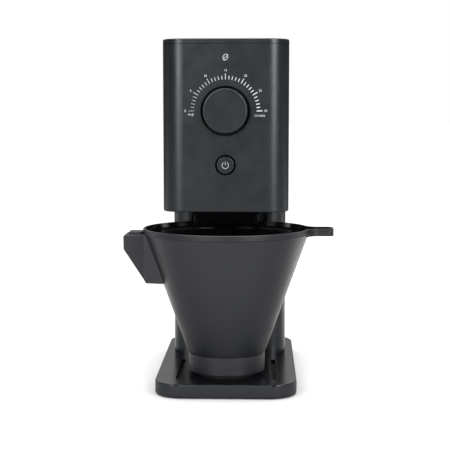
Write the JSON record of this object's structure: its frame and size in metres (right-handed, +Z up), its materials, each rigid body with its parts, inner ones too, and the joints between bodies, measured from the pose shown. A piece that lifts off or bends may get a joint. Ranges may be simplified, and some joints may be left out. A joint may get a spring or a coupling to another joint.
{
  "type": "burr coffee grinder",
  "caption": "Upright electric burr coffee grinder with a front grind dial, a bean hopper under a flat lid, and a cone filter holder standing on the base under the chute.",
  "frame": {"origin": "on the plane the feet stand on, under the middle of the whole object with the filter holder", "axes": "+Z up; -Y is the front, where the dial is; +X is to the right seen from the front"},
  "size_m": [0.2047, 0.2754, 0.3397],
  "materials": {
    "body_black": "fine-grained matt black moulded casing, faint blue tint",
    "base_black": "satin black moulded base plate",
    "holder_black": "matt black moulded filter holder, polished inside",
    "control_black": "satin black dial and button",
    "inner_plastic": "plain black and grey inner mouldings",
    "clear_hopper": "smoked hopper moulding",
    "rubber_black": "soft black rubber",
    "steel": "plain turned steel",
    "burr_steel": "hardened burr steel",
    "gear_plastic": "natural nylon gears",
    "brass_fittings": "brass bush and pinion",
    "motor_iron": "zinc plated motor can",
    "magnet_iron": "ferrite magnets and laminations",
    "circuit_board": "green circuit board with parts"
  },
  "bodies": {
    "stand": {"base_shell": "base_black", "base_bottom_cover": "base_black", "cover_screws": "steel", "rubber_feet": "rubber_black", "holder_seat_pad": "rubber_black", "column_shell": "body_black", "column_rear_cover": "body_black", "rear_cover_screws": "steel", "column_screws": "steel", "cord_gland": "rubber_black", "power_board": "circuit_board", "board_standoffs": "inner_plastic", "mains_capacitor": "circuit_board", "transformer": "motor_iron", "motor_leads": "rubber_black", "head_housing": "body_black", "head_underside_cover": "body_black", "bean_hopper": "clear_hopper", "hopper_gasket": "rubber_black", "dial_cup": "control_black", "dial_bush": "brass_fittings", "dial_bracket": "inner_plastic", "button_housing": "inner_plastic", "button_spring": "steel", "micro_switch": "inner_plastic", "gearbox_case": "inner_plastic", "gearbox_lid": "inner_plastic", "gearbox_screws": "steel", "shaft_bearings": "steel", "shaft_seal": "rubber_black", "idler_pin": "steel", "motor_can": "motor_iron", "motor_end_cap": "inner_plastic", "motor_magnets": "magnet_iron", "motor_brushes": "magnet_iron", "chamber_housing": "inner_plastic", "grounds_chute": "inner_plastic"},
    "lid": {"lid": "body_black", "lid_seal": "rubber_black"},
    "dial": {"dial_knob": "control_black", "dial_shaft": "steel", "dial_pinion": "brass_fittings"},
    "adjusting_ring": {"adjusting_ring": "inner_plastic"},
    "burr_carrier": {"burr_carrier": "inner_plastic", "ring_burr": "burr_steel"},
    "power_button": {"power_button": "control_black"},
    "motor_rotor": {"motor_armature": "magnet_iron", "motor_shaft": "steel", "motor_pinion": "brass_fittings", "motor_fan": "inner_plastic"},
    "idler": {"idler_gear": "gear_plastic"},
    "burr_drive": {"burr_shaft": "steel", "burr_gear": "gear_plastic", "grounds_sweeper": "inner_plastic", "cone_burr": "burr_steel", "burr_nut": "steel"},
    "filter_holder": {"holder_cone": "holder_black", "holder_collar": "holder_black", "holder_handle": "holder_black", "handle_top_plate": "holder_black"}
  },
  "joints": [
    {"name": "dial_turn", "type": "hinge", "parent": "stand", "child": "dial", "pos_m": [0, -0.0965, 0.2723], "axis": [0, 1, 0], "range_deg": [0, 180]},
    {"name": "ring_turn", "type": "hinge", "parent": "stand", "child": "adjusting_ring", "pos_m": [0, 0.0221, 0.26], "axis": [0, 0, 1], "range_deg": [-36, 0]},
    {"name": "carrier_lift", "type": "slide", "parent": "stand", "child": "burr_carrier", "axis": [0, 0, 1], "range_m": [0, 0.00125]},
    {"name": "motor_spin", "type": "hinge", "parent": "stand", "child": "motor_rotor", "pos_m": [0, 0.0788, 0.14], "axis": [0, 0, 1], "continuous": true},
    {"name": "idler_spin", "type": "hinge", "parent": "stand", "child": "idler", "pos_m": [0, 0.0518, 0.204], "axis": [0, 0, 1], "continuous": true},
    {"name": "burr_spin", "type": "hinge", "parent": "stand", "child": "burr_drive", "pos_m": [0, 0.0221, 0.23], "axis": [0, 0, 1], "continuous": true},
    {"name": "button_press", "type": "slide", "parent": "stand", "child": "power_button", "axis": [0, 1, 0], "range_m": [0, 0.0018], "stiffness_N_per_m": 500, "springref_m": -0.0015, "deforming": ["button_spring"]},
    {"name": "lid_lift", "type": "slide", "parent": "stand", "child": "lid", "axis": [0, 0, 1], "range_m": [0, 0.08]},
    {"name": "holder_slide", "type": "slide", "parent": "stand", "child": "filter_holder", "axis": [0, -1, 0], "range_m": [0, 0.18]}
  ],
  "couplings": [
    {"joint": "dial_turn", "follows": "carrier_lift", "rad_per_m": 2513.3},
    {"joint": "ring_turn", "follows": "carrier_lift", "rad_per_m": -488.69},
    {"joint": "idler_spin", "follows": "motor_spin", "ratio": -0.25},
    {"joint": "burr_spin", "follows": "motor_spin", "ratio": 0.055556}
  ]
}
